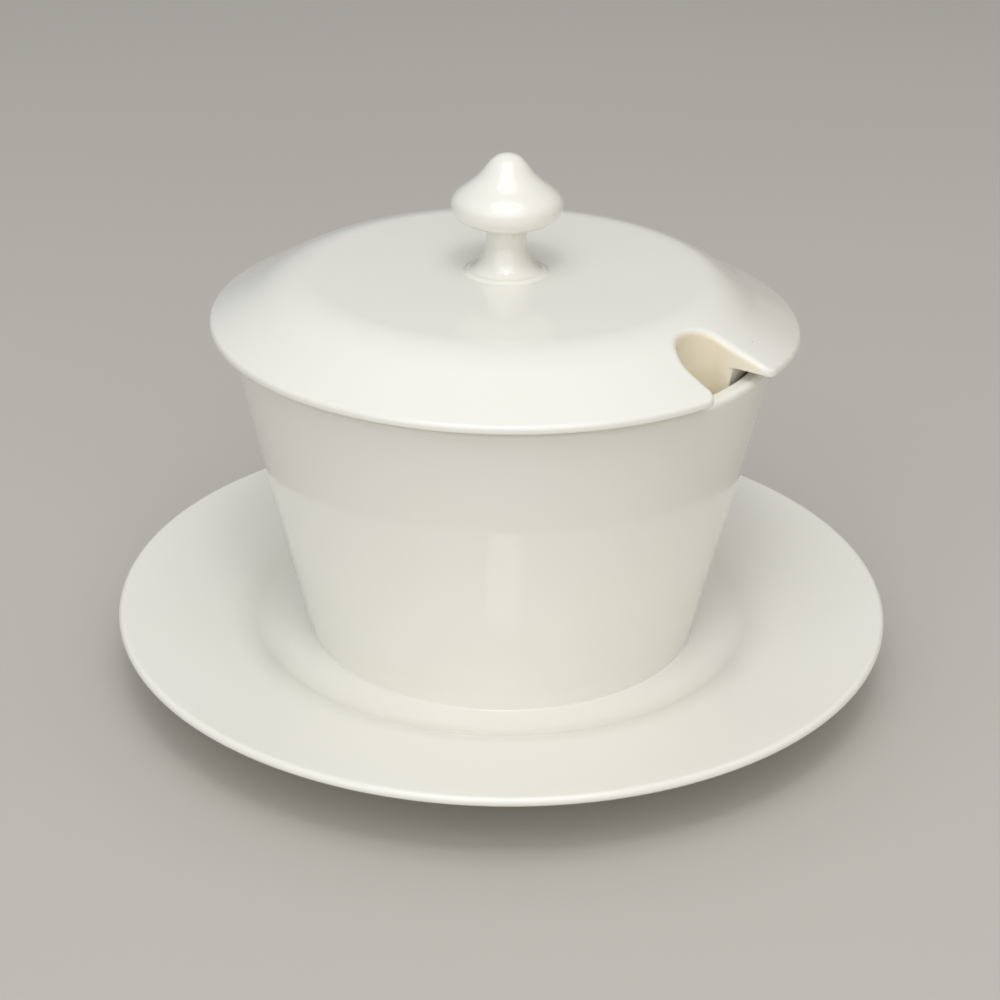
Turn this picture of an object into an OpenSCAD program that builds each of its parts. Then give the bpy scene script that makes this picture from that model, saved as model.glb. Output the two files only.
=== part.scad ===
// Covered jam pot of glazed cream earthenware on its fixed stand, with a notch for the spoon in its lid.
// The origin is the centre of the stand's foot on the table, +Z is up, and the notch points along +X.

/* [Stand] */
// Diameter over the rim of the stand
stand_d = 160; // [152:1:176]
// Height of the stand's rim above the table
stand_h = 15.6; // [15:0.1:18]
// Thickness of the stand's lip
stand_lip_t = 1.8; // [1.6:0.1:3]
// Thickness of the brim where it leaves the well
stand_brim_t = 3.8; // [3.2:0.1:4.4]
// Diameter of the edge where the brim turns down into the well
well_edge_d = 108; // [106:1:116]
// Height of that edge above the table
well_edge_h = 11.7; // [11.2:0.1:12.6]
// Width of the well's sloping side
well_side_w = 4; // [3:0.5:5]
// Height of the well's floor above the table
well_floor_h = 9.2; // [8.8:0.1:9.8]
// Thickness of the well's floor
well_floor_t = 4.6; // [4:0.1:4.8]
// How far the foot ring stands in from the edge of the well
foot_inset = 7; // [6:0.5:10]
// Width of the foot ring on the table
foot_w = 3.6; // [3:0.1:5]

/* [Pot] */
// Width of the well's floor that shows round the pot's foot
pot_inset = 9.4; // [7:0.1:12]
// Diameter of the pot over its rim
pot_rim_d = 109.6; // [104:0.2:114]
// Height of the pot from its foot to its rim
pot_h = 64.7; // [56:0.1:78]
// Thickness of the pot's wall
pot_wall = 3.4; // [3:0.1:4.4]
// Thickness of the pot's floor
pot_floor_t = 4.8; // [4:0.1:6]
// Radius between the pot's wall and floor inside
pot_corner_r = 9; // [6:0.5:14]

/* [Lid] */
// How far the lid's edge stands out over the pot's rim
lid_overhang = 3.5; // [3:0.1:5]
// Thickness of the lid's edge
lid_lip_t = 1.4; // [1.3:0.1:2.4]
// Height of that edge's underside above the seat on the pot's rim
lid_lip_lift = 1.6; // [1:0.1:2]
// Diameter of the crease between the sloping brim and the flat top
crease_d = 87.8; // [84:0.2:92]
// Height of the crease above the pot's rim
crease_h = 10.15; // [9.5:0.05:11]
// Rise of the flat top from the crease to the knob
top_rise = 0.9; // [0.6:0.1:1.6]
// Thickness of the lid's top
lid_t = 3.4; // [2.8:0.1:4]
// Gap between the lid's flange and the pot's mouth
flange_gap = 1.8; // [1:0.1:2.4]
// Depth of the flange below the pot's rim
flange_h = 7.5; // [5:0.5:10]
// Thickness of the flange
flange_t = 3.2; // [2.6:0.1:4]

/* [Spoon notch] */
// Width of the notch's round end
notch_w = 12.6; // [10:0.2:14]
// Depth of the notch from the lid's edge
notch_depth = 14; // [13:0.1:15]
// Angle at which each side of the notch opens out from its middle line
notch_flare = 12.5; // [6:0.5:20]
// Angle that the middle line is turned by, as a cut made by hand is
notch_turn = 12.5; // [0:0.5:14]
// How far the round end lies to the other side
notch_shift = 0.8; // [0:0.1:1.2]
// Radius of the corners where the notch meets the lid's edge
notch_corner_r = 4; // [1:0.1:4.5]
// Thickness of the wall that lines the notch
notch_wall = 3.2; // [2.6:0.1:4]

/* [Knob] */
// Diameter of the knob's head
knob_d = 22; // [18:0.2:26]
// Height of the knob from its foot to its tip
knob_h = 23.5; // [20:0.1:28]
// Diameter of the knob's foot
knob_foot_d = 16; // [14:0.2:18]
// Diameter of the knob's neck
knob_neck_d = 7.9; // [7:0.1:10]

/* [Slip joints] */
// Thickness of the slip under the pot
pot_slip_t = 0.4; // [0.3:0.1:0.8]
// Height and reach of the slip's fillet round the pot's foot
pot_fillet = 0.9; // [0.7:0.1:1.6]
// Thickness of the slip under the knob
knob_slip_t = 0.2; // [0.1:0.1:0.6]

/* [Hidden] */

$fn = 96;
ARC_STEPS = 8;
ARC_STEP_TURN = 7;
CURVE_STEPS = 10;
ware = "#f0eee4";
slip = "#ece6d4";

// Stand: the underside of the floor is the roof of the recess inside the foot ring
stand_r = stand_d / 2;
well_edge_r = well_edge_d / 2;
well_floor_r = well_edge_r - well_side_w;
recess_h = well_floor_h - well_floor_t;
foot_r = well_edge_r - foot_inset;
foot_draft = foot_w / 4;
foot_round = foot_w / 3;
foot_root_round = foot_w / 2;
brim_w = stand_r - well_edge_r;
brim_rise = stand_h - well_edge_h;
brim_turn = atan(brim_rise / brim_w);
brim_under_turn = atan((brim_rise + stand_brim_t - stand_lip_t) / brim_w);
stand_lip_top_share = 0.69;
stand_lip_under_share = 0.24;
stand_lip_top_round = stand_lip_t * stand_lip_top_share * tan(45 - brim_turn / 2);
stand_lip_under_round = stand_lip_t * stand_lip_under_share * tan(45 + brim_under_turn / 2);
well_round = stand_brim_t;
well_under_round = stand_brim_t * 1.5;

// Pot: a straight cone that stands on its slip and carries the lid on its rim
pot_foot_r = well_floor_r - pot_inset;
pot_rim_r = pot_rim_d / 2;
pot_base_h = well_floor_h + pot_slip_t;
pot_rim_h = pot_base_h + pot_h;
pot_mouth_r = pot_rim_r - pot_wall;
pot_inside_h = pot_base_h + pot_floor_t;
pot_lip_outer_round = pot_wall * 0.35;
pot_lip_inner_round = pot_wall * 0.3;

// Lid: it is seated on the pot's rim, its edge is raised and its flange hangs inside the pot's mouth
lid_r = pot_rim_r + lid_overhang;
lid_seat_r = pot_rim_r - pot_lip_outer_round * 1.5;
lid_step_r = lid_seat_r + lid_lip_lift;
lid_step_round = lid_lip_lift / 2;
lid_lip_under_h = pot_rim_h + lid_lip_lift;
lid_lip_h = lid_lip_under_h + lid_lip_t;
lid_lip_top_round = lid_lip_t * 0.8;
lid_lip_under_round = lid_lip_t * 0.4;
crease_r = crease_d / 2;
crease_top_h = pot_rim_h + crease_h;
crease_round = lid_t * 1.8;
top_h = crease_top_h + top_rise;
brim_swell = lid_lip_t / 6;
brim_middle = [
    (lid_r + crease_r) / 2,
    (lid_lip_h + crease_top_h) / 2 + brim_swell
];
brim_bow_turn = atan((brim_middle.y - lid_lip_h) / (lid_r - brim_middle.x))
    - atan((crease_top_h - brim_middle.y) / (brim_middle.x - crease_r));
brim_bow_reach_share = 0.316;
brim_bow_r = brim_bow_reach_share * (lid_r - brim_middle.x) / tan(brim_bow_turn / 2);
flange_r = pot_mouth_r - flange_gap;
flange_end_h = pot_rim_h - flange_h;
flange_round = flange_t / 3;
flange_root_round = flange_gap / 3;
hollow_r = flange_r - flange_t;
hollow_top_h = top_h - lid_t;
hollow_side_h = crease_top_h - lid_t;
hollow_round = lid_t * 2;

// Spoon notch: a round end with two sides that open out to the lid's edge, as a wedge with its tip rounded
notch_r = notch_w / 2;
notch_centre = [lid_r - notch_depth + notch_r, -notch_shift];
notch_tip = notch_centre - notch_r / sin(notch_flare) * [cos(notch_turn), sin(notch_turn)];

// Knob: its foot is stuck to the level middle of the lid
knob_r = knob_d / 2;
knob_foot_r = knob_foot_d / 2;
knob_neck_r = knob_neck_d / 2;
knob_base_h = top_h + knob_slip_t;
knob_seat_r = knob_foot_r * 1.1;
top_bow_middle_r = (crease_r + knob_seat_r) / 2;
top_bow_turn = atan(top_rise / (crease_r - top_bow_middle_r));
top_bow_reach_share = 0.9;
top_bow_r = top_bow_reach_share * (crease_r - top_bow_middle_r) / tan(top_bow_turn / 2);

// Heights on the knob as shares of its height
knob_edge_share = 0.005;
knob_flare_shares = [0.015, 0.15, 0.30];
knob_neck_top_share = 0.385;
knob_under_shares = [0.405, 0.42];
knob_widest_share = 0.578;
knob_belly_shares = [0.667, 0.718];
knob_bend_share = 0.81;
knob_shoulder_share = 0.887;

// Widths on the knob: those of the foot and the neck as shares of the step between them,
// and those of the head as shares of its radius
knob_flare_width_share = 0.5;
knob_under_width_shares = [0.55, 1];
knob_belly_width_share = 0.734;
knob_bend_width_share = 0.531;
knob_shoulder_width_share = 0.364;
knob_tip_width_share = 0.298;

// The slip's fillets stop at a thin edge, as a wiped joint does
slip_edge = pot_slip_t / 3;
slip_cove_r = pot_fillet * 0.7;
overrun = pot_wall;

function unit(v) = v / norm(v);

// Points of the arc that rounds one corner of an outline
function corner_arc(before, at, after, radius) =
    let (
        to_before = unit(before - at),
        to_after = unit(after - at),
        half_angle = acos(to_before * to_after) / 2,
        reach = radius / tan(half_angle),
        centre = at + unit(to_before + to_after) * radius / sin(half_angle),
        start = at + to_before * reach - centre,
        end = at + to_after * reach - centre,
        turn = 180 - 2 * half_angle,
        steps = max(ARC_STEPS, ceil(turn / ARC_STEP_TURN))
    )
    [for (i = [0:steps])
        centre + (start * sin(turn * (1 - i / steps)) + end * sin(turn * i / steps)) / sin(turn)];

// An outline from corners given as [place, radius], where a radius of zero leaves the corner sharp
function rounded(corners) =
    let (n = len(corners))
    [for (i = [0:n - 1])
        let (c = corners[i])
        each c[1] == 0
            ? [c[0]]
            : corner_arc(corners[(i + n - 1) % n][0], c[0], corners[(i + 1) % n][0], c[1])];

// Points along a curve from a to d that leaves a towards b and reaches d from c, without a itself
function curve(a, b, c, d) =
    [for (i = [1:CURVE_STEPS])
        let (t = i / CURVE_STEPS, s = 1 - t)
        s * s * s * a + 3 * s * s * t * b + 3 * s * t * t * c + t * t * t * d];

// Outer radius of the pot at a height above the table
function pot_r_at(h) = pot_foot_r + (pot_rim_r - pot_foot_r) * (h - pot_base_h) / pot_h;

// Corners of one side of the notch, from the wedge's tip outwards, where hand is 1 or -1
function notch_side(hand) =
    let (
        turn = notch_turn + hand * notch_flare,
        along = [cos(turn), sin(turn)],
        across = [-along.y, along.x],
        off = notch_tip * across,
        corner = off * across + sqrt(lid_r * lid_r - off * off) * along,
        past_corner = corner + hand * notch_r * unit([-corner.y, corner.x])
    )
    [[corner, notch_corner_r], [past_corner, 0], [past_corner + [notch_depth, 0], 0]];

function reversed(list) = [for (i = [len(list) - 1:-1:0]) list[i]];

// Shallow dish with a brim, a well and a foot ring, turned as one section
module saucer() {
    color(ware)
    rotate_extrude()
    polygon(rounded([
        [[0, well_floor_h], 0],
        [[well_floor_r, well_floor_h], well_round],
        [[well_edge_r, well_edge_h], well_round],
        [[stand_r, stand_h], stand_lip_top_round],
        [[stand_r, stand_h - stand_lip_t], stand_lip_under_round],
        [[well_edge_r, well_edge_h - stand_brim_t], well_under_round],
        [[foot_r + foot_draft, recess_h], foot_root_round],
        [[foot_r, 0], foot_round],
        [[foot_r - foot_w, 0], foot_round],
        [[foot_r - foot_w - foot_draft, recess_h], foot_root_round],
        [[0, recess_h], 0]
    ]));
}

// Layer of slip that sticks the pot to the stand, with the small fillet that shows round the seam
module pot_slip() {
    fillet_top_h = pot_base_h + pot_fillet;
    color(slip)
    rotate_extrude()
    polygon(rounded([
        [[0, well_floor_h], 0],
        [[pot_foot_r + pot_fillet, well_floor_h], 0],
        [[pot_foot_r + pot_fillet, well_floor_h + slip_edge], 0],
        [[pot_foot_r + slip_edge, well_floor_h + slip_edge], slip_cove_r],
        [[pot_r_at(fillet_top_h) + slip_edge, fillet_top_h], 0],
        [[pot_r_at(fillet_top_h), fillet_top_h], 0],
        [[pot_foot_r, pot_base_h], 0],
        [[0, pot_base_h], 0]
    ]));
}

// Straight-sided tapering bowl with a rounded lip
module pot() {
    color(ware)
    rotate_extrude()
    polygon(rounded([
        [[0, pot_base_h], 0],
        [[pot_foot_r, pot_base_h], 0],
        [[pot_rim_r, pot_rim_h], pot_lip_outer_round],
        [[pot_mouth_r, pot_rim_h], pot_lip_inner_round],
        [[pot_r_at(pot_inside_h) - pot_wall, pot_inside_h], pot_corner_r],
        [[0, pot_inside_h], 0]
    ]));
}

// Section of the lid without its hollow: brim, low domed top and locating flange
module lid_body() {
    rotate_extrude()
    polygon(rounded([
        [[0, flange_end_h], 0],
        [[flange_r, flange_end_h], flange_round],
        [[flange_r, pot_rim_h], flange_root_round],
        [[lid_seat_r, pot_rim_h], 0],
        [[lid_step_r, lid_lip_under_h], lid_step_round],
        [[lid_r, lid_lip_under_h], lid_lip_under_round],
        [[lid_r, lid_lip_h], lid_lip_top_round],
        [brim_middle, brim_bow_r],
        [[crease_r, crease_top_h], crease_round],
        [[top_bow_middle_r, top_h], top_bow_r],
        [[0, top_h], 0]
    ]));
}

// Space under the lid's top, inside its flange
module lid_hollow() {
    rotate_extrude()
    polygon(rounded([
        [[0, flange_end_h - overrun], 0],
        [[hollow_r + flange_round, flange_end_h - overrun], 0],
        [[hollow_r + flange_round, flange_end_h], 0],
        [[hollow_r, flange_end_h + flange_round], 0],
        [[hollow_r, hollow_side_h], hollow_round],
        [[0, hollow_top_h], 0]
    ]));
}

// The notch, through the brim and the flange, with its corners at the lid's edge rounded
module notch() {
    translate([0, 0, flange_end_h - overrun])
    linear_extrude(flange_h + crease_h + overrun * 2)
    polygon(rounded(concat([[notch_tip, notch_r]], notch_side(1), reversed(notch_side(-1)))));
}

// Cover with a sloping brim, hollow underneath, whose wall follows the spoon notch down its whole depth
module lid() {
    color(ware)
    difference() {
        lid_body();
        difference() {
            lid_hollow();
            translate([notch_centre.x, notch_centre.y, flange_end_h])
            cylinder(r = notch_r + notch_wall, h = top_h - flange_end_h);
        }
        notch();
    }
}

// Layer of slip that sticks the knob to the lid
module knob_slip() {
    color(slip)
    translate([0, 0, top_h])
    cylinder(r1 = knob_foot_r + knob_slip_t, r2 = knob_foot_r, h = knob_slip_t);
}

// Solid turned knob: spreading foot, thin neck and a head like an acorn
module knob() {
    function level(share) = share * knob_h;
    function flare_r(share) = knob_neck_r + share * (knob_foot_r - knob_neck_r);
    edge = [knob_foot_r, level(knob_edge_share)];
    neck = [knob_neck_r, level(knob_flare_shares[2])];
    neck_top = [knob_neck_r, level(knob_neck_top_share)];
    widest = [knob_r, level(knob_widest_share)];
    bend = [knob_r * knob_bend_width_share, level(knob_bend_share)];
    color(ware)
    translate([0, 0, knob_base_h])
    rotate_extrude()
    polygon(concat(
        [[0, 0], [knob_foot_r, 0], edge],
        curve(
            edge,
            [flare_r(knob_flare_width_share), level(knob_flare_shares[0])],
            [knob_neck_r, level(knob_flare_shares[1])],
            neck
        ),
        [neck_top],
        curve(
            neck_top,
            [knob_r * knob_under_width_shares[0], level(knob_under_shares[0])],
            [knob_r * knob_under_width_shares[1], level(knob_under_shares[1])],
            widest
        ),
        curve(
            widest,
            [knob_r, level(knob_belly_shares[0])],
            [knob_r * knob_belly_width_share, level(knob_belly_shares[1])],
            bend
        ),
        curve(
            bend,
            [knob_r * knob_shoulder_width_share, level(knob_shoulder_share)],
            [knob_r * knob_tip_width_share, knob_h],
            [0, knob_h]
        )
    ));
}

saucer();
pot_slip();
pot();
lid();
knob_slip();
knob();
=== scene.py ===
"""Covered jam pot of glazed cream earthenware: a dish-shaped stand, a tapering pot stuck to it and
a hollow lid with an acorn knob and a notch for the spoon."""

import math

import bmesh
import bpy
from mathutils import Matrix, Vector
from mathutils.geometry import interpolate_bezier


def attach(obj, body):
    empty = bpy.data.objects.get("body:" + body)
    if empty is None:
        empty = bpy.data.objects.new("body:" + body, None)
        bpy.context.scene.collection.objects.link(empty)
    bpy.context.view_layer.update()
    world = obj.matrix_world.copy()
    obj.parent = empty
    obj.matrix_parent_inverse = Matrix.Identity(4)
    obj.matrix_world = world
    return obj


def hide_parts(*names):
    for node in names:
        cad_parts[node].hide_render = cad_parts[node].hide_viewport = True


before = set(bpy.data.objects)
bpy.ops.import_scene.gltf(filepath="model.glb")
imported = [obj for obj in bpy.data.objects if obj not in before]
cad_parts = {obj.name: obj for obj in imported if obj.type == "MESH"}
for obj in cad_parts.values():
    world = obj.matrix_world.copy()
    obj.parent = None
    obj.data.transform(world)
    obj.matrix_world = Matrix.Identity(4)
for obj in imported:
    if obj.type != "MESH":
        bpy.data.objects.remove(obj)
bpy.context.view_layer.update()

# Camera: a 72 mm lens on a 36 mm sensor, a little over 40 cm from the pot and looking down at it.
# It is turned about the upright axis, dropped below the horizon and rolled by the angles below.
CAMERA_PLACE = Vector((0.24538, -0.27990, 0.21666))
CAMERA_TURN = math.radians(41.332)
CAMERA_DROP = math.radians(25.999)
CAMERA_ROLL = math.radians(0.77)
CAMERA_LENS_MM = 71.77
CAMERA_SENSOR_MM = 36
CAMERA_SEES_FROM, CAMERA_SEES_TO = 0.01, 50

ahead = Vector((
    -math.sin(CAMERA_TURN) * math.cos(CAMERA_DROP),
    math.cos(CAMERA_TURN) * math.cos(CAMERA_DROP),
    -math.sin(CAMERA_DROP),
))
camera = bpy.data.objects.new("camera", bpy.data.cameras.new("camera"))
camera.data.sensor_width = CAMERA_SENSOR_MM
camera.data.lens = CAMERA_LENS_MM
camera.data.clip_start, camera.data.clip_end = CAMERA_SEES_FROM, CAMERA_SEES_TO
camera.rotation_mode = "QUATERNION"
camera.rotation_quaternion = (
    ahead.to_track_quat("-Z", "Y").to_matrix() @ Matrix.Rotation(CAMERA_ROLL, 3, "Z")
).to_quaternion()
camera.location = CAMERA_PLACE
bpy.context.scene.collection.objects.link(camera)
bpy.context.scene.camera = camera
bpy.context.scene.view_settings.view_transform = "Standard"


# Table: a matt painted board, pale and plain, that runs out of sight on every side. Far from the
# pot the camera sees it fade into the backdrop.
TABLE_COLOUR = "#C4C1BB"
TABLE_SHADE = "#BEBBB5"
TABLE_RADIUS = 6.0
TABLE_FACETS = 128
CLOUDS_PER_M = 3.0
FADE_FROM, FADE_TO = 0.8, 1.7
BACKDROP_COLOUR = "#D2D0CB"


def linear(hex_colour):
    """The colour that the renderer counts with, from the one that a screen shows."""
    channels = (int(hex_colour[i:i + 2], 16) / 255 for i in (1, 3, 5))
    return (*(c / 12.92 if c <= 0.04045 else ((c + 0.055) / 1.055) ** 2.4 for c in channels), 1)


def add_node(tree, kind, inputs=(), **settings):
    """A node with its sockets set to values or joined to those of other nodes."""
    made = tree.nodes.new(kind)
    for name, value in settings.items():
        setattr(made, name, value)
    for socket, value in dict(inputs).items():
        if isinstance(value, bpy.types.NodeSocket):
            tree.links.new(value, made.inputs[socket])
        else:
            made.inputs[socket].default_value = value
    return made


table_paint = bpy.data.materials.new("matt_table_paint")
table_paint.use_nodes = True
tree = table_paint.node_tree
tree.nodes.clear()
place = add_node(tree, "ShaderNodeTexCoord").outputs["Object"]
clouds = add_node(tree, "ShaderNodeTexNoise", {
    "Vector": place, "Scale": CLOUDS_PER_M, "Detail": 3.0})
tone = add_node(tree, "ShaderNodeMix", {
    0: clouds.outputs[0], 6: linear(TABLE_COLOUR), 7: linear(TABLE_SHADE)}, data_type="RGBA")
paint = add_node(tree, "ShaderNodeBsdfPrincipled", {
    "Base Color": tone.outputs[2], "Roughness": 0.75, "Specular IOR Level": 0.3})
reach = add_node(tree, "ShaderNodeVectorMath", {0: place}, operation="LENGTH")
far = add_node(tree, "ShaderNodeMapRange", {
    0: reach.outputs[1], 1: FADE_FROM, 2: FADE_TO, 3: 0.0, 4: 1.0},
    interpolation_type="SMOOTHSTEP")
rays = add_node(tree, "ShaderNodeLightPath")
fade = add_node(tree, "ShaderNodeMath", {
    0: far.outputs[0], 1: rays.outputs["Is Camera Ray"]}, operation="MULTIPLY")
haze = add_node(tree, "ShaderNodeEmission", {"Color": linear(BACKDROP_COLOUR), "Strength": 1.0})
faded = add_node(tree, "ShaderNodeMixShader", {
    0: fade.outputs[0], 1: paint.outputs[0], 2: haze.outputs[0]})
add_node(tree, "ShaderNodeOutputMaterial", {"Surface": faded.outputs[0]})

board = bmesh.new()
bmesh.ops.create_circle(board, cap_ends=True, radius=TABLE_RADIUS, segments=TABLE_FACETS)
table = bpy.data.objects.new("table", bpy.data.meshes.new("table"))
board.to_mesh(table.data)
board.free()
table.data.materials.append(table_paint)
bpy.context.scene.collection.objects.link(table)


# Studio light: a soft box high over the camera with a small one in it for the glints, a very wide
# one in front, and pale walls that are darker low down and warmer on the right, under a white
# ceiling.
CEILING_COLOUR = "#E4E4E2"
LEFT_WALL_COLOUR = "#989CA6"
RIGHT_WALL_COLOUR = "#A8906C"
WALL_STRENGTH = 0.66
WALL_FOOT, WALL_HEAD = -0.1, 0.65
WALL_LEFT, WALL_RIGHT = -0.3, 0.9
LIT_SPOT = Vector((0, 0, 0.05))
SOFT_BOXES = {
    # bearing and rise of the box as seen from the lit spot in degrees, its distance, width and
    # height in metres, and its watts
    "key_box": (40, 66, 1.30, 1.00, 1.00, 5.4),
    "small_box": (43, 62, 1.10, 0.18, 0.18, 1.1),
    "front_box": (33, 27, 1.60, 2.80, 1.40, 11.2),
}

walls = bpy.data.worlds.new("studio_walls")
walls.use_nodes = True
tree = walls.node_tree
tree.nodes.clear()
way = add_node(tree, "ShaderNodeTexCoord").outputs["Generated"]
axes = add_node(tree, "ShaderNodeSeparateXYZ", {0: way})
camera_right = (math.cos(CAMERA_TURN), math.sin(CAMERA_TURN), 0)
to_right = add_node(tree, "ShaderNodeVectorMath", {
    0: way, 1: camera_right}, operation="DOT_PRODUCT")
side = add_node(tree, "ShaderNodeMapRange", {
    0: to_right.outputs[1], 1: WALL_LEFT, 2: WALL_RIGHT, 3: 0.0, 4: 1.0})
wall = add_node(tree, "ShaderNodeMix", {
    0: side.outputs[0], 6: linear(LEFT_WALL_COLOUR), 7: linear(RIGHT_WALL_COLOUR)},
    data_type="RGBA")
upward = add_node(tree, "ShaderNodeMapRange", {
    0: axes.outputs[2], 1: WALL_FOOT, 2: WALL_HEAD, 3: 0.0, 4: 1.0},
    interpolation_type="SMOOTHSTEP")
room = add_node(tree, "ShaderNodeMix", {
    0: upward.outputs[0], 6: wall.outputs[2], 7: linear(CEILING_COLOUR)}, data_type="RGBA")
lit = add_node(tree, "ShaderNodeBackground", {"Color": room.outputs[2], "Strength": WALL_STRENGTH})
seen = add_node(tree, "ShaderNodeBackground", {"Color": linear(BACKDROP_COLOUR), "Strength": 1.0})
rays = add_node(tree, "ShaderNodeLightPath")
both = add_node(tree, "ShaderNodeMixShader", {
    0: rays.outputs["Is Camera Ray"], 1: lit.outputs[0], 2: seen.outputs[0]})
add_node(tree, "ShaderNodeOutputWorld", {"Surface": both.outputs[0]})
bpy.context.scene.world = walls

for name, (bearing, rise, distance, width, height, watts) in SOFT_BOXES.items():
    lamp = bpy.data.objects.new(name, bpy.data.lights.new(name, "AREA"))
    lamp.data.shape = "RECTANGLE"
    lamp.data.size, lamp.data.size_y = width, height
    lamp.data.energy = watts
    bearing, rise = math.radians(bearing), math.radians(rise)
    away = Vector((
        math.sin(bearing) * math.cos(rise), -math.cos(bearing) * math.cos(rise), math.sin(rise)))
    lamp.location = LIT_SPOT + away * distance
    lamp.rotation_mode = "QUATERNION"
    lamp.rotation_quaternion = (-away).to_track_quat("-Z", "Y")
    bpy.context.scene.collection.objects.link(lamp)


# Stand: a shallow dish with a broad brim, a well for the pot and a foot ring. It is cream
# earthenware, turned in a mould and dipped whole in a thin clear lead-type glaze, so it shines on
# every side.
MM = 0.001
STAND_FACETS = 288
STAND_CORNERS = [
    # radius and height of each corner of the section, and the radius that rounds it
    (0, 9.2, 0),
    (49.1, 9.2, 12),
    (54.6, 12.05, 18.5),
    (80, 15.6, 1.05),
    (80, 13.8, 0.65),
    (54, 7.9, 5.7),
    (47.9, 4.6, 1.8),
    (47, 0, 1.2),
    (43.4, 0, 1.2),
    (42.5, 4.6, 1.8),
    (0, 4.6, 0),
]
STAND_POOLS = [
    # radius, height and reach of a ring where the glaze has run together
    (48.0, 4.4, 3.0),
    (42.5, 4.4, 3.0),
]
SHARP_TURN = math.radians(40)
LONGEST_FACET_MM = 2.2
ARC_DEGREES = 7
FEWEST_ARC_STEPS = 6
SAME_PLACE = 1e-6

GLAZE_CLEAR = "#F1F1EB"
GLAZE_WARM = "#EFEDE4"
# tone of glaze lying thick in pools; under the lid it is also painted shade in the gap
GLAZE_THICK_AND_SHADE = "#E9E5D6"
# tone of glaze run thick in the spoon notch, which is also painted warm shade there
RUN_AND_SHADE_TONE = "#F1E7CD"
# share of each notch run's reach that takes the full run tone and painted warm shade
RUN_AND_SHADE_CORE = 0.955
SPECK = "#9C8A66"
TONE_PATCH_MM = 45
SPECK_CELL_MM = 12
SPECK_MM = 0.2
SPECK_PART = 0.30
PEEL_MM = 1.6
PEEL_HEIGHT_MM = 0.006
WAVE_MM = 24
WAVE_HEIGHT_MM = 0.06


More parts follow.
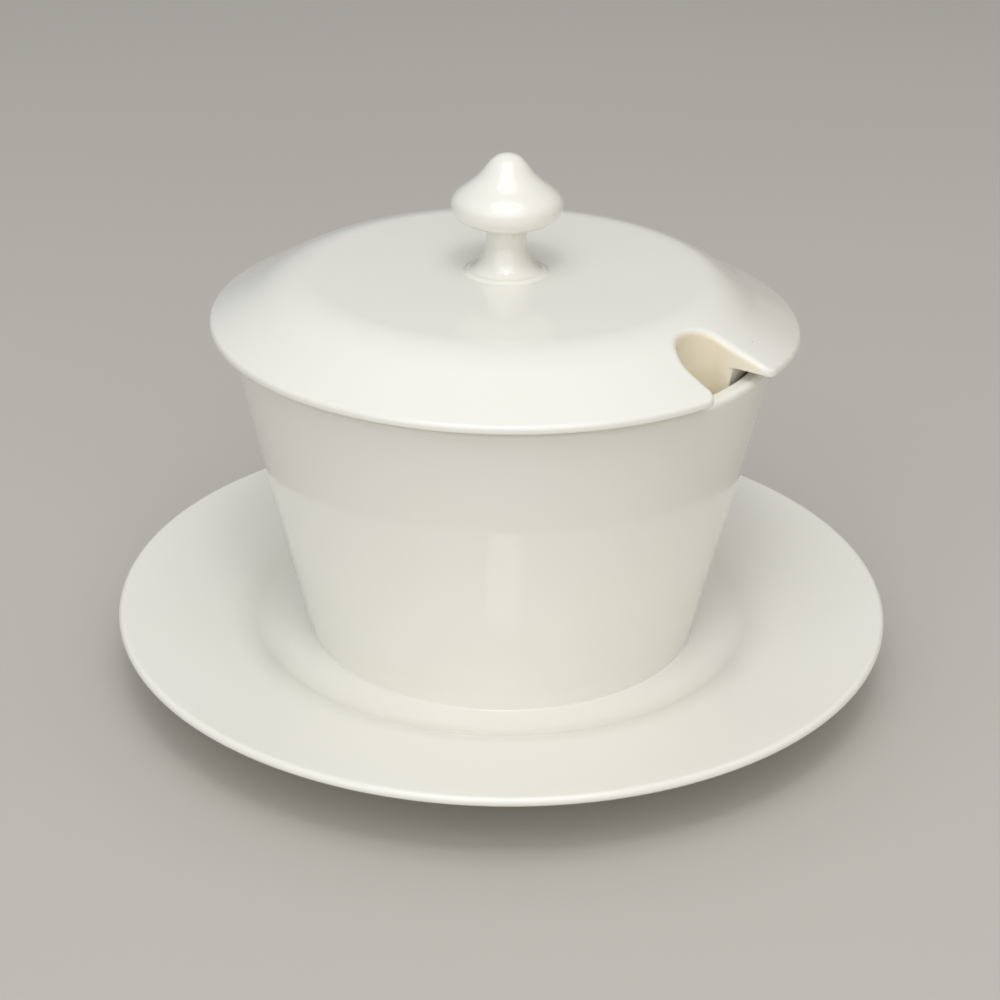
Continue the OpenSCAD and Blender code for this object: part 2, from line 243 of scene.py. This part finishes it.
def glazed_earthenware(name, pools_and_shade, runs_and_shade=()):
    """Clear lead-type glaze on cream earthenware. The eye sees a warm white body under a smooth
    coat that mirrors lamps sharply, a deeper tone where the glaze is thick, and here and there a
    tan speck. On the lid the thick tone is also painted shade in the gap under the lid, and the
    warm runs are also painted warm shade in the spoon notch."""
    made = bpy.data.materials.new(name)
    made.use_nodes = True
    tree = made.node_tree
    tree.nodes.clear()
    place = add_node(tree, "ShaderNodeTexCoord").outputs["Object"]

    patches = add_node(tree, "ShaderNodeTexNoise", {
        "Vector": place, "Scale": 1 / (TONE_PATCH_MM * MM), "Detail": 2.0, "Roughness": 0.4})
    body = add_node(tree, "ShaderNodeMix", {
        0: patches.outputs[0], 6: linear(GLAZE_CLEAR), 7: linear(GLAZE_WARM)}, data_type="RGBA")

    # the glaze is thick in pools, which are rings round a spot of the section, and in runs, which
    # stand upright on a spot of the plan. On the lid one pool is also painted shade in the gap
    # under the lid, and the runs are also painted warm shade in the spoon notch
    axes = add_node(tree, "ShaderNodeSeparateXYZ", {0: place})
    plan = add_node(tree, "ShaderNodeCombineXYZ", {0: axes.outputs[0], 1: axes.outputs[1]})
    radius = add_node(tree, "ShaderNodeVectorMath", {0: plan.outputs[0]}, operation="LENGTH")
    section = add_node(tree, "ShaderNodeCombineXYZ", {0: radius.outputs[1], 1: axes.outputs[2]})
    thick_and_shaded = [
        (section, (shade_pool_radius, shade_pool_height), reach, 0, 1.0, GLAZE_THICK_AND_SHADE)
        for shade_pool_radius, shade_pool_height, reach in pools_and_shade]
    thick_and_shaded += [
        (plan, (shade_run_x, shade_run_y), reach, reach * RUN_AND_SHADE_CORE, strength, RUN_AND_SHADE_TONE)
        for shade_run_x, shade_run_y, reach, strength in runs_and_shade]
    colour = body.outputs[2]
    for where, (across, up), reach, core, strength, tone in thick_and_shaded:
        apart = add_node(tree, "ShaderNodeVectorMath", {
            0: where.outputs[0], 1: (across * MM, up * MM, 0)}, operation="DISTANCE")
        tone_share = add_node(tree, "ShaderNodeMapRange", {
            0: apart.outputs[1], 1: reach * MM, 2: core * MM, 3: 0.0, 4: strength},
            interpolation_type="SMOOTHSTEP")
        pooled_and_shaded = add_node(tree, "ShaderNodeMix", {
            0: tone_share.outputs[0], 6: colour, 7: linear(tone)}, data_type="RGBA")
        colour = pooled_and_shaded.outputs[2]

    cells = add_node(tree, "ShaderNodeTexVoronoi", {
        "Vector": place, "Scale": 1 / (SPECK_CELL_MM * MM)})
    speck_edge = SPECK_MM / SPECK_CELL_MM
    near = add_node(tree, "ShaderNodeMapRange", {
        0: cells.outputs["Distance"], 1: speck_edge, 2: speck_edge / 2, 3: 0.0, 4: 1.0})
    lots = add_node(tree, "ShaderNodeSeparateColor", {0: cells.outputs["Color"]})
    chosen = add_node(tree, "ShaderNodeMath", {
        0: lots.outputs[0], 1: SPECK_PART}, operation="LESS_THAN")
    speck = add_node(tree, "ShaderNodeMath", {
        0: near.outputs[0], 1: chosen.outputs[0]}, operation="MULTIPLY")
    speckled = add_node(tree, "ShaderNodeMix", {
        0: speck.outputs[0], 6: colour, 7: linear(SPECK)}, data_type="RGBA")

    waves = add_node(tree, "ShaderNodeTexNoise", {
        "Vector": place, "Scale": 1 / (WAVE_MM * MM), "Detail": 1.0})
    peel = add_node(tree, "ShaderNodeTexNoise", {
        "Vector": place, "Scale": 1 / (PEEL_MM * MM), "Detail": 1.0})
    swell = add_node(tree, "ShaderNodeBump", {
        "Height": waves.outputs[0], "Distance": WAVE_HEIGHT_MM * MM, "Strength": 1.0})
    skin = add_node(tree, "ShaderNodeBump", {
        "Height": peel.outputs[0], "Distance": PEEL_HEIGHT_MM * MM, "Strength": 1.0,
        "Normal": swell.outputs[0]})

    glaze = add_node(tree, "ShaderNodeBsdfPrincipled", {
        "Base Color": speckled.outputs[2], "Roughness": 0.45, "Specular IOR Level": 0.3,
        "Normal": skin.outputs[0], "Coat Weight": 1.0, "Coat Roughness": 0.06, "Coat IOR": 1.6,
        "Coat Normal": skin.outputs[0]})
    add_node(tree, "ShaderNodeOutputMaterial", {"Surface": glaze.outputs[0]})
    return made


def turned(corners, facets):
    """A closed piece spun about the Z axis from the corners of its section and their roundings."""
    bm = bmesh.new()
    places = [Vector((r * MM, 0, z * MM)) for r, z, _ in corners]
    wire = [bm.verts.new(spot) for spot in places]
    for ends in zip(wire, wire[1:]):
        bm.edges.new(ends)
    for i, (_, _, rounding) in enumerate(corners):
        if rounding:
            opening = (places[i - 1] - places[i]).angle(places[i + 1] - places[i])
            steps = math.ceil((180 - math.degrees(opening)) / ARC_DEGREES)
            bmesh.ops.bevel(
                bm, geom=[wire[i]], offset=rounding * MM / math.tan(opening / 2),
                offset_type="OFFSET", segments=max(FEWEST_ARC_STEPS, steps), profile=0.5,
                affect="VERTICES", clamp_overlap=False, material=-1)
    for edge in list(bm.edges):
        cuts = int(edge.calc_length() / (LONGEST_FACET_MM * MM))
        if cuts:
            bmesh.ops.subdivide_edges(bm, edges=[edge], cuts=cuts)
    return spun(bm, facets)


def spun(bm, facets):
    """A section of joined edges turned once round the Z axis and closed at the axis."""
    bmesh.ops.spin(
        bm, geom=bm.verts[:] + bm.edges[:], cent=(0, 0, 0), axis=(0, 0, 1), dvec=(0, 0, 0),
        angle=2 * math.pi, steps=facets, use_merge=True)
    bmesh.ops.remove_doubles(bm, verts=bm.verts, dist=SAME_PLACE)
    bmesh.ops.recalc_face_normals(bm, faces=bm.faces)
    return bm


def finished(bm, name, glaze, body, node):
    """The shape as a smooth glazed piece that rides on its body and stands for its node."""
    for face in bm.faces:
        face.smooth = True
    for edge in bm.edges:
        edge.smooth = edge.calc_face_angle(0) < SHARP_TURN
    piece = bpy.data.objects.new(name, bpy.data.meshes.new(name))
    bm.to_mesh(piece.data)
    bm.free()
    piece.data.materials.append(glaze)
    bpy.context.scene.collection.objects.link(piece)
    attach(piece, body)
    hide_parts(node)


finished(
    turned(STAND_CORNERS, STAND_FACETS), "glazed_stand",
    glazed_earthenware("glazed_earthenware_stand", STAND_POOLS),
    "pot_and_stand", "saucer")


# Seam under the pot: the slip that sticks it to the stand, wiped to a small fillet. The glaze has
# run over it and fills the corner, so it shows as a thin bright line round the foot.
SEAM_CORNERS = [
    (0, 9.2, 0),
    (40.95, 9.2, 0),
    (40.66, 9.27, 0.2),
    (40.72, 9.95, 0),
    (40.5, 9.95, 0),
    (40.5, 9.6, 0),
    (0, 9.6, 0),
]

finished(
    turned(SEAM_CORNERS, STAND_FACETS), "slip_seam_pot",
    glazed_earthenware("glazed_slip_pot", []), "pot_and_stand", "pot_slip")


# Pot: a straight-sided tapering bowl with a rounded lip and a coved floor, of the same ware and in
# the same glaze. Slip sticks its flat bottom to the stand.
POT_FACETS = 288
POT_CORNERS = [
    (0, 9.6, 0),
    (40.6, 9.6, 0.25),
    (54.8, 74.3, 1.19),
    (51.4, 74.3, 1.02),
    (38.25, 14.4, 9),
    (0, 14.4, 0),
]
POT_POOLS = [(36.0, 15.5, 8.0)]

finished(
    turned(POT_CORNERS, POT_FACETS), "glazed_pot",
    glazed_earthenware("glazed_earthenware_pot", POT_POOLS), "pot_and_stand", "pot")


# Lid: a hollow cover with a sloping brim and a flange that hangs inside the pot's mouth. The notch
# for the spoon was cut freehand through both in the soft clay and its edges wiped round. One closed
# skin of rings, all with the same stations, runs from the crown round the edge into the hollow.
LID_TOP = [
    # radius and height of each corner of the upper side from the edge inwards, and its rounding
    (58.3, 77.3, 0),
    (51.1, 81.108, 60),
    (43.2, 85.4, 22),
    (26, 85.5, 600),
    (9.5, 85.35, 0),
    (0, 85.35, 0),
]
LID_UNDER = [
    # the same for the underside: edge, step and the seat on the pot's rim
    (60, 75.9, 0),
    (54.6, 75.9, 1.2),
    (53.0, 74.3, 0.8),
    (40, 74.3, 0),
]
LID_R = 58.3
LIP_ROUND = 1.0
LIP_UNDER_ROUND = 0.42
LEAST_ROUND = 0.02

# the collar is the flange that hangs inside the pot's mouth
COLLAR_R = 51.0
COLLAR_ROOT = 0.6
COLLAR_CORNER = 1.0
COLLAR_TAPER = 1.6
COLLAR_END_Z = 66.8
COLLAR_END_ROUND = 1.0
COLLAR_T = 3.2

HOLLOW_R = 46.4
HOLLOW_CORNER = 2.0
HOLLOW_COVE = 6.8
CEILING_SIDE_Z = 81.05
CEILING_RISE = 0.9

TOP_FLAT_R = 36
CROWN_RINGS_R = (2, 9.5, 14, 20, 26, 31, 34, TOP_FLAT_R)
CEILING_RINGS_SHARE = (0.85, 0.68, 0.5, 0.32, 0.15)

# the notch has a round end about its centre and straight sides that flare outwards
NOTCH_CENTRE = Vector((50.6, -0.8))
NOTCH_R = 6.3
NOTCH_TURN = math.radians(12.5)
NOTCH_FLARE = math.radians(12.5)
NOTCH_EDGE_ROUND = 1.6
EDGE_FINER_FROM_R = 50
MOUTH_CORNER = 2.5
NOTCH_WIPED_Z = 77.1
# how far the notch's wall has come down past the brim's lower edge, the underside and the root
WALL_DROPS = (0.1, 0.35, 0.6)

BRIM_SINK = 1.7
# where the sunk part of the brim begins, is sunk fully, rises again and ends, in degrees
SINK_BEARINGS = (2, 40, 72, 115)
TOP_SINK_R = (40, 50)
UNDER_SINK_R = (53.5, 58)

# how many stations lie on each stretch of a ring, and in degrees how far those of the notch spread
# on the flat top and how far apart they are where the collar begins
WALL_STATIONS = 44
SIDE_STATIONS = 14
CORNER_STATIONS = 12
WIPED_STATIONS = 14
HALF_RIM_STATIONS = 214
NOTCH_SPREAD = 34
COLLAR_STEP = 0.55

# how finely corners, slopes and paths are worked out
LONGEST_WALL = 30
HALVINGS = 48
SLOPE_STEP = 0.05
PATH_PULL = 0.3
LONGEST_PULL = 3.0
LID_SAME_PLACE = 1e-7


def section_height(section, r):
    """Height at radius r of a section given as corners from the outside in, with roundings."""
    ends = [Vector(section[0][:2])]
    for before, (cr, cz, rounding), after in zip(section, section[1:], section[2:]):
        corner = Vector((cr, cz))
        to_before = (Vector(before[:2]) - corner).normalized()
        to_after = (Vector(after[:2]) - corner).normalized()
        half = to_before.angle(to_after) / 2
        reach = rounding / math.tan(half)
        start, end = corner + to_before * reach, corner + to_after * reach
        if r > start.x:
            ends.append(start)
            break
        if r >= end.x:
            middle = corner + (to_before + to_after).normalized() * rounding / math.sin(half)
            drop = math.sqrt(rounding ** 2 - (r - middle.x) ** 2)
            return middle.y + math.copysign(drop, cz - middle.y)
        ends = [end]
    else:
        ends.append(Vector(section[-1][:2]))
    share = (r - ends[0].x) / (ends[1].x - ends[0].x)
    return ends[0].y + share * (ends[1].y - ends[0].y)


def notch_wall(along):
    """Place on the notch's wall at a distance along it from its deepest point, and the way into
    the clay."""
    side = math.copysign(1, along)
    bend = min(abs(along) / NOTCH_R, math.pi / 2 - NOTCH_FLARE)
    into = Vector((-math.cos(bend), side * math.sin(bend)))
    straight = abs(along) - bend * NOTCH_R
    flared = Vector((math.cos(NOTCH_FLARE), side * math.sin(NOTCH_FLARE)))
    place = into * NOTCH_R + flared * straight
    turn = Matrix.Rotation(NOTCH_TURN, 2)
    return NOTCH_CENTRE + turn @ place, turn @ into


def corner_with(side, radius, rounding, off=0):
    """How far along the wall, set off into the clay, the rounded corner with a circle starts, the
    middle of its rounding and the way from there to the start."""
    low, high = 0, LONGEST_WALL
    for _ in range(HALVINGS):
        along = (low + high) / 2
        place, into = notch_wall(side * along)
        middle = place + into * (off + rounding)
        if middle.length < radius - rounding:
            low = along
        else:
            high = along
    return along, middle, -into


def corner_arc(middle, start, rounding, steps):
    """Places round a corner's rounding, from the wall to the circle, and the way into the clay."""
    begin = math.atan2(start.y, start.x)
    sweep = math.remainder(math.atan2(middle.y, middle.x) - begin, 2 * math.pi)
    for step in range(1, steps + 1):
        turn = begin + sweep * step / steps
        out = Vector((math.cos(turn), math.sin(turn)))
        yield middle + out * rounding, -out


def on_circle(radius, degrees):
    """Place on a circle about the Z axis at a bearing."""
    turn = math.radians(degrees)
    return Vector((math.cos(turn), math.sin(turn))) * radius


def eased(degrees, first, wanted):
    """An angle moved so that first comes at wanted while the angle opposite the notch stays."""
    side = math.copysign(1, first)
    return degrees + (wanted - first) * ((180 - side * degrees) / (180 - side * first)) ** 3


def polar(place):
    """Bearing of a place in degrees, from the X axis."""
    return math.degrees(math.atan2(place.y, place.x))


def gently(share):
    """A share held between 0 and 1 that starts and ends without a jolt."""
    share = min(max(share, 0), 1)
    return share * share * (3 - 2 * share)


def sunk(place, first_r, last_r):
    """How far the brim past the notch's far side sank in the kiln, from nothing at first_r."""
    begin, full, fading, end = SINK_BEARINGS
    bearing = polar(place)
    beside = gently((bearing - begin) / (full - begin)) * gently((end - bearing) / (end - fading))
    return BRIM_SINK * beside * gently((place.length - first_r) / (last_r - first_r))


def top_height(place):
    """Height of the upper side at a place, with the sunk part of the brim."""
    return section_height(LID_TOP, place.length) - sunk(place, *TOP_SINK_R)


lower_start = -corner_with(-1, COLLAR_R, COLLAR_CORNER)[0]
upper_start = corner_with(1, COLLAR_R, COLLAR_CORNER)[0]
wall_along = [
    lower_start + (upper_start - lower_start) * i / WALL_STATIONS for i in range(WALL_STATIONS + 1)]


def half_stations(side):
    """From the collar's corner out to the point opposite the notch: each station's place on the
    edge with the way into the clay, on the collar with its way out and on the hollow, and its
    bearing on the top."""
    collar_along, collar_middle, collar_start = corner_with(side, COLLAR_R, COLLAR_CORNER)
    edge_along, edge_middle, edge_start = corner_with(side, LID_R, MOUTH_CORNER)
    hollow_middle = corner_with(side, HOLLOW_R, HOLLOW_CORNER, COLLAR_T)[1]
    edge = [
        notch_wall(side * (collar_along + (edge_along - collar_along) * i / SIDE_STATIONS))
        for i in range(1, SIDE_STATIONS + 1)]
    edge += corner_arc(edge_middle, edge_start, MOUTH_CORNER, CORNER_STATIONS)
    mouth = polar(edge[-1][0])
    rim = [
        mouth + (side * 180 - mouth) * i / HALF_RIM_STATIONS
        for i in range(1, HALF_RIM_STATIONS + 1)]
    edge += [(on_circle(LID_R, d), on_circle(-1, d)) for d in rim]

    collar = [(place, -into) for place, into in corner_arc(
        collar_middle, collar_start, COLLAR_CORNER, CORNER_STATIONS)]
    corner_end = polar(collar[-1][0])
    degrees = [corner_end + side * COLLAR_STEP * i for i in range(1, SIDE_STATIONS + 1)]
    degrees += [eased(d, mouth, degrees[-1]) for d in rim]
    collar += [(on_circle(COLLAR_R, d), on_circle(1, d)) for d in degrees]

    first, wanted = polar(notch_wall(side * collar_along)[0]), polar(hollow_middle)
    hollow = [
        on_circle(HOLLOW_R, eased(polar(place), first, wanted)) for place, _ in collar[:-1]]
    hollow.append(on_circle(HOLLOW_R, 180))

    length = edge_along + MOUTH_CORNER * edge_start.angle(edge_middle)
    spread = side * NOTCH_SPREAD / length
    top = [
        spread * (collar_along + (edge_along - collar_along) * i / SIDE_STATIONS)
        for i in range(1, SIDE_STATIONS + 1)]
    top += [
        spread * (edge_along + (length - edge_along) * i / CORNER_STATIONS)
        for i in range(1, CORNER_STATIONS + 1)]
    top += [eased(d, mouth, side * NOTCH_SPREAD) for d in rim]
    return list(zip(edge, collar, hollow, top)), length


def wall_station(along, length):
    """The same for a station on the wall between the collar's corners."""
    side = math.copysign(1, along)
    place, into = notch_wall(along)
    start, middle, begin = corner_with(side, HOLLOW_R, HOLLOW_CORNER, COLLAR_T)
    last = corner_with(side, COLLAR_R, COLLAR_CORNER)[0]
    if abs(along) <= start:
        inside = place + into * COLLAR_T
    else:
        first = math.atan2(begin.y, begin.x)
        sweep = math.remainder(math.atan2(middle.y, middle.x) - first, 2 * math.pi)
        turn = first + sweep * (abs(along) - start) / (last - start)
        inside = middle + Vector((math.cos(turn), math.sin(turn))) * HOLLOW_CORNER
    return (place, into), (place, -into), inside, along * NOTCH_SPREAD / length


lower, lower_length = half_stations(-1)
upper, upper_length = half_stations(1)
middle_part = [wall_station(s, upper_length if s > 0 else lower_length) for s in wall_along]
stations = middle_part + upper + lower[-2::-1]
count = len(stations)
WALL = range(len(middle_part))


def lid_ring(place_of):
    """One ring of the lid's surface, with the place of each station in mm from its number."""
    return [Vector(place_of(i)) * MM for i in range(count)]


def rounding_at(i):
    """Rounding between the upper side and the wall: full in the notch, finer on the lid's edge."""
    place = stations[i][0][0]
    if i not in WALL and abs(place.length - LID_R) < SAME_PLACE:
        return LIP_ROUND
    share = min(max((place.length - EDGE_FINER_FROM_R) / (LID_R - EDGE_FINER_FROM_R), 0), 1)
    return NOTCH_EDGE_ROUND + (LIP_ROUND - NOTCH_EDGE_ROUND) * share ** 2


roundings = [rounding_at(i) for i in range(count)]
tops = []
for (place, into), rounding in zip((station[0] for station in stations), roundings):
    inner = place + into * rounding
    step = into * SLOPE_STEP
    slope = math.atan2(top_height(inner + step) - top_height(inner - step), 2 * SLOPE_STEP)
    start = place + into * rounding * (1 - math.sin(slope))
    tops.append((start, slope, top_height(start) - rounding * math.cos(slope)))

rings = []
for r in CROWN_RINGS_R:
    rings.append(lid_ring(lambda i: (*on_circle(r, stations[i][3]), section_height(LID_TOP, r))))

paths = []
for (start, _, _), (edge, _, _, degrees) in zip(tops, stations):
    goal = on_circle(TOP_FLAT_R, degrees)
    pull = min(PATH_PULL * (goal - start).length, LONGEST_PULL)
    paths.append((goal, goal + on_circle(pull, degrees), start + edge[1] * pull, start))


def along_path(path, share):
    """Place on a smooth path from the flat part of the top, at share 0, to the edge, at share 1."""
    a, b, c, d = path
    rest = 1 - share
    return a * rest ** 3 + b * 3 * rest ** 2 * share + c * 3 * rest * share ** 2 + d * share ** 3


def spaced(*stretches):
    """Shares from 0 to 1 in stretches given as where each ends and how many steps it has."""
    shares, begin = [], 0
    for end, steps in stretches:
        shares += [begin + (end - begin) * (i + 1) / steps for i in range(steps)]
        begin = end
    return shares


for share in spaced((0.08, 2), (0.62, 26), (0.95, 10), (1, 3)):
    def on_top(i):
        spot = along_path(paths[i], share)
        return (*spot, top_height(spot))
    rings.append(lid_ring(on_top))

for share in spaced((1, 9)):
    def on_rounding(i):
        (place, into), (_, slope, middle_z), rounding = stations[i][0], tops[i], roundings[i]
        turn = (math.pi / 2 - slope) * (1 - share)
        spot = place + into * rounding * (1 - math.cos(turn))
        return (*spot, middle_z + rounding * math.sin(turn))
    rings.append(lid_ring(on_rounding))


def from_wall(i):
    """How many stations a station is from the wall between the collar's corners."""
    return 0 if i in WALL else min(i - len(WALL) + 1, count - i)


def under_height(i, place):
    """Height of the underside at a place: stepped all round, but wiped to a cone by the notch."""
    r = place.length
    wiped = 1 - gently((from_wall(i) - SIDE_STATIONS) / (CORNER_STATIONS + WIPED_STATIONS))
    cone = NOTCH_WIPED_Z + (LID_UNDER[0][1] - NOTCH_WIPED_Z) * (r - COLLAR_R) / (LID_R - COLLAR_R)
    height = section_height(LID_UNDER, r) * (1 - wiped) + cone * wiped
    return height - sunk(place, *UNDER_SINK_R)


def foot_of_wall(i):
    """Height where the wall ends on the lid's underside, and the rounding there."""
    if i in WALL:
        return NOTCH_WIPED_Z, 0
    foot = under_height(i, stations[i][0][0])
    return foot, LIP_UNDER_ROUND * min(from_wall(i) / SIDE_STATIONS, 1)


feet = [foot_of_wall(i) for i in range(count)]
for share in spaced((1, 7)):
    def on_wall(i):
        (place, _), (foot, rounding), high = stations[i][0], feet[i], tops[i][2]
        return (*place, high + (foot + max(rounding, LEAST_ROUND) - high) * share)
    rings.append(lid_ring(on_wall))

for share in spaced((1, 4)):
    def on_under_rounding(i):
        (place, into), (foot, rounding) = stations[i][0], feet[i]
        turn = math.pi / 2 * share
        spot = place + into * rounding * (1 - math.cos(turn))
        low = foot if i not in WALL else foot - WALL_DROPS[0] * share
        return (*spot, low + max(rounding, LEAST_ROUND) * (1 - math.sin(turn)))
    rings.append(lid_ring(on_under_rounding))


def wall_height(stage, share):
    """Height on the notch's wall on the way from one of its drops to the next."""
    return NOTCH_WIPED_Z - WALL_DROPS[stage] - (WALL_DROPS[stage + 1] - WALL_DROPS[stage]) * share


past_wall = [min(from_wall(i) / CORNER_STATIONS, 1) for i in range(count)]
roots = [COLLAR_ROOT * share for share in past_wall]
for share in spaced((1, 14)):
    def on_underside(i):
        (place, into), (root, out) = stations[i][:2]
        if i in WALL:
            return (*place, wall_height(0, share))
        spot = (place + into * feet[i][1]).lerp(root + out * roots[i], share)
        return (*spot, under_height(i, spot))
    rings.append(lid_ring(on_underside))

for share in spaced((1, 4)):
    def on_root(i):
        root, out = stations[i][1]
        turn = math.pi / 2 * share
        spot = root + out * roots[i] * (1 - math.sin(turn))
        if i in WALL:
            return (*spot, wall_height(1, share))
        return (*spot, under_height(i, root) - COLLAR_ROOT * (1 - math.cos(turn)))
    rings.append(lid_ring(on_root))

skirts = []
for share, (_, (place, out), inside, _) in zip(past_wall, stations):
    outside = place - out * COLLAR_TAPER * share
    edge = (inside - outside).normalized() * COLLAR_END_ROUND
    skirts.append((outside, outside + edge, inside - edge, inside))
for share in spaced((1, 8)):
    def on_collar(i):
        root = stations[i][1][0]
        high = (NOTCH_WIPED_Z if i in WALL else under_height(i, root)) - COLLAR_ROOT
        spot = root.lerp(skirts[i][0], share)
        return (*spot, high + (COLLAR_END_Z + COLLAR_END_ROUND - high) * share)
    rings.append(lid_ring(on_collar))

for share in spaced((1, 5)):
    turn = math.pi / 2 * share
    z = COLLAR_END_Z + COLLAR_END_ROUND * (1 - math.sin(turn))
    rings.append(lid_ring(lambda i: (*skirts[i][0].lerp(skirts[i][1], 1 - math.cos(turn)), z)))

for share in spaced((1, 3)):
    rings.append(lid_ring(lambda i: (*skirts[i][1].lerp(skirts[i][2], share), COLLAR_END_Z)))

for share in spaced((1, 5)):
    turn = math.pi / 2 * share
    z = COLLAR_END_Z + COLLAR_END_ROUND * (1 - math.cos(turn))
    rings.append(lid_ring(lambda i: (*skirts[i][2].lerp(skirts[i][3], math.sin(turn)), z)))

cove_z = CEILING_SIDE_Z - HOLLOW_COVE
low = COLLAR_END_Z + COLLAR_END_ROUND
for share in spaced((1, 7)):
    rings.append(lid_ring(lambda i: (*stations[i][2], low + (cove_z - low) * share)))


def ceiling(spot):
    """Height of the hollow's ceiling, which rises a little towards its middle."""
    return CEILING_SIDE_Z + CEILING_RISE * (1 - spot.length / HOLLOW_R)


for share in spaced((1, 10)):
    def on_cove(i):
        inside = stations[i][2]
        turn = math.pi / 2 * share
        last = inside - inside.normalized() * HOLLOW_COVE
        spot = inside.lerp(last, 1 - math.cos(turn))
        return (*spot, cove_z + (ceiling(last) - cove_z) * math.sin(turn))
    rings.append(lid_ring(on_cove))

for share in CEILING_RINGS_SHARE:
    def on_ceiling(i):
        inside = stations[i][2]
        spot = (inside - inside.normalized() * HOLLOW_COVE) * share
        return (*spot, ceiling(spot))
    rings.append(lid_ring(on_ceiling))

lid = bmesh.new()
bmesh.ops.create_circle(lid, radius=CROWN_RINGS_R[0] * MM, segments=count)
ring = lid.verts[:]
edges = first_edges = lid.edges[:]
for number, places in enumerate(rings):
    if number:
        made = bmesh.ops.extrude_edge_only(lid, edges=edges)["geom"]
        ring = [part for part in made if isinstance(part, bmesh.types.BMVert)]
        fresh = set(ring)
        edges = [
            part for part in made
            if isinstance(part, bmesh.types.BMEdge) and fresh.issuperset(part.verts)]
    for vert, spot in zip(ring, places):
        vert.co = spot
bottom = bmesh.ops.extrude_edge_only(lid, edges=edges)["geom"]
bmesh.ops.pointmerge(
    lid, verts=[part for part in bottom if isinstance(part, bmesh.types.BMVert)],
    merge_co=(0, 0, (CEILING_SIDE_Z + CEILING_RISE) * MM))
crown = bmesh.ops.extrude_edge_only(lid, edges=first_edges)["geom"]
bmesh.ops.pointmerge(
    lid, verts=[part for part in crown if isinstance(part, bmesh.types.BMVert)],
    merge_co=(0, 0, LID_TOP[-1][1] * MM))
bmesh.ops.remove_doubles(lid, verts=lid.verts, dist=LID_SAME_PLACE)
bmesh.ops.recalc_face_normals(lid, faces=lid.faces)

# a ring of glaze lying thick in the corner under the lid, whose tone is also painted shade in the
# gap between the collar and the pot's mouth
LID_POOL_AND_GAP_SHADE = [(COLLAR_R, 74.5, 4.0)]
LID_RUNS_AND_SHADE = [
    # place of an upright axis, the reach round it where the glaze lies thick and warm and warm
    # shade is painted in the notch, and how much
    (50.6, -0.8, 6.68, 1.0),
    (52.0, -0.49, 7.0, 0.55),
    (53.4, -0.18, 7.35, 0.45),
    (54.8, 0.13, 7.7, 0.4),
    (56.6, 0.53, 8.12, 0.35),
    (58.4, 0.93, 8.55, 0.25),
]
finished(
    lid, "glazed_lid", glazed_earthenware("glazed_earthenware_lid", LID_POOL_AND_GAP_SHADE, LID_RUNS_AND_SHADE),
    "lid", "lid")


# Seam under the knob: a film of slip that sticks the knob's foot to the lid, with glaze run into
# the corner so that the foot flows into the lid.
KNOB_SEAM_CORNERS = [
    (0, 85.35, 0),
    (8.75, 85.345, 0),
    (8.35, 85.43, 0.8),
    (7.85, 85.76, 0.8),
    (7.3, 85.9, 0),
    (7.1, 85.85, 0),
    (0, 85.6, 0),
]
KNOB_FACETS = 160
finished(
    turned(KNOB_SEAM_CORNERS, KNOB_FACETS), "slip_seam_knob",
    glazed_earthenware("glazed_slip_knob", []), "lid", "knob_slip")


# Knob: solid, of the same ware, turned on the wheel as an acorn on a thin neck with a spreading
# foot, and stuck to the lid before both were glazed.
KNOB_CURVES = [
    # radius and height of the start, two handles and end of each curve of the section
    ((8, 85.67), (5.98, 85.9), (3.95, 89.08), (3.95, 92.6)),
    ((3.95, 94.6), (6.05, 95.07), (11, 95.42), (11, 99.13)),
    ((11, 99.13), (11, 101.22), (8.07, 102.42), (5.84, 104.58)),
    ((5.84, 104.58), (4.0, 106.39), (3.28, 109.05), (0, 109.05)),
]
KNOB_FOOT = [(0, 85.55), (7.9, 85.55)]
KNOB_CURVE_STEPS = 26
KNOB_POOLS = [(4.0, 95.0, 1.6)]

knob = bmesh.new()
section = [Vector((r, 0, z)) for r, z in KNOB_FOOT]
for curve in KNOB_CURVES:
    points = interpolate_bezier(*(Vector((r, 0, z)) for r, z in curve), KNOB_CURVE_STEPS)
    section += [point for point in points if (point - section[-1]).length > SAME_PLACE]
wire = [knob.verts.new(point * MM) for point in section]
for ends in zip(wire, wire[1:]):
    knob.edges.new(ends)
finished(
    spun(knob, KNOB_FACETS), "glazed_knob",
    glazed_earthenware("glazed_earthenware_knob", KNOB_POOLS), "lid", "knob")
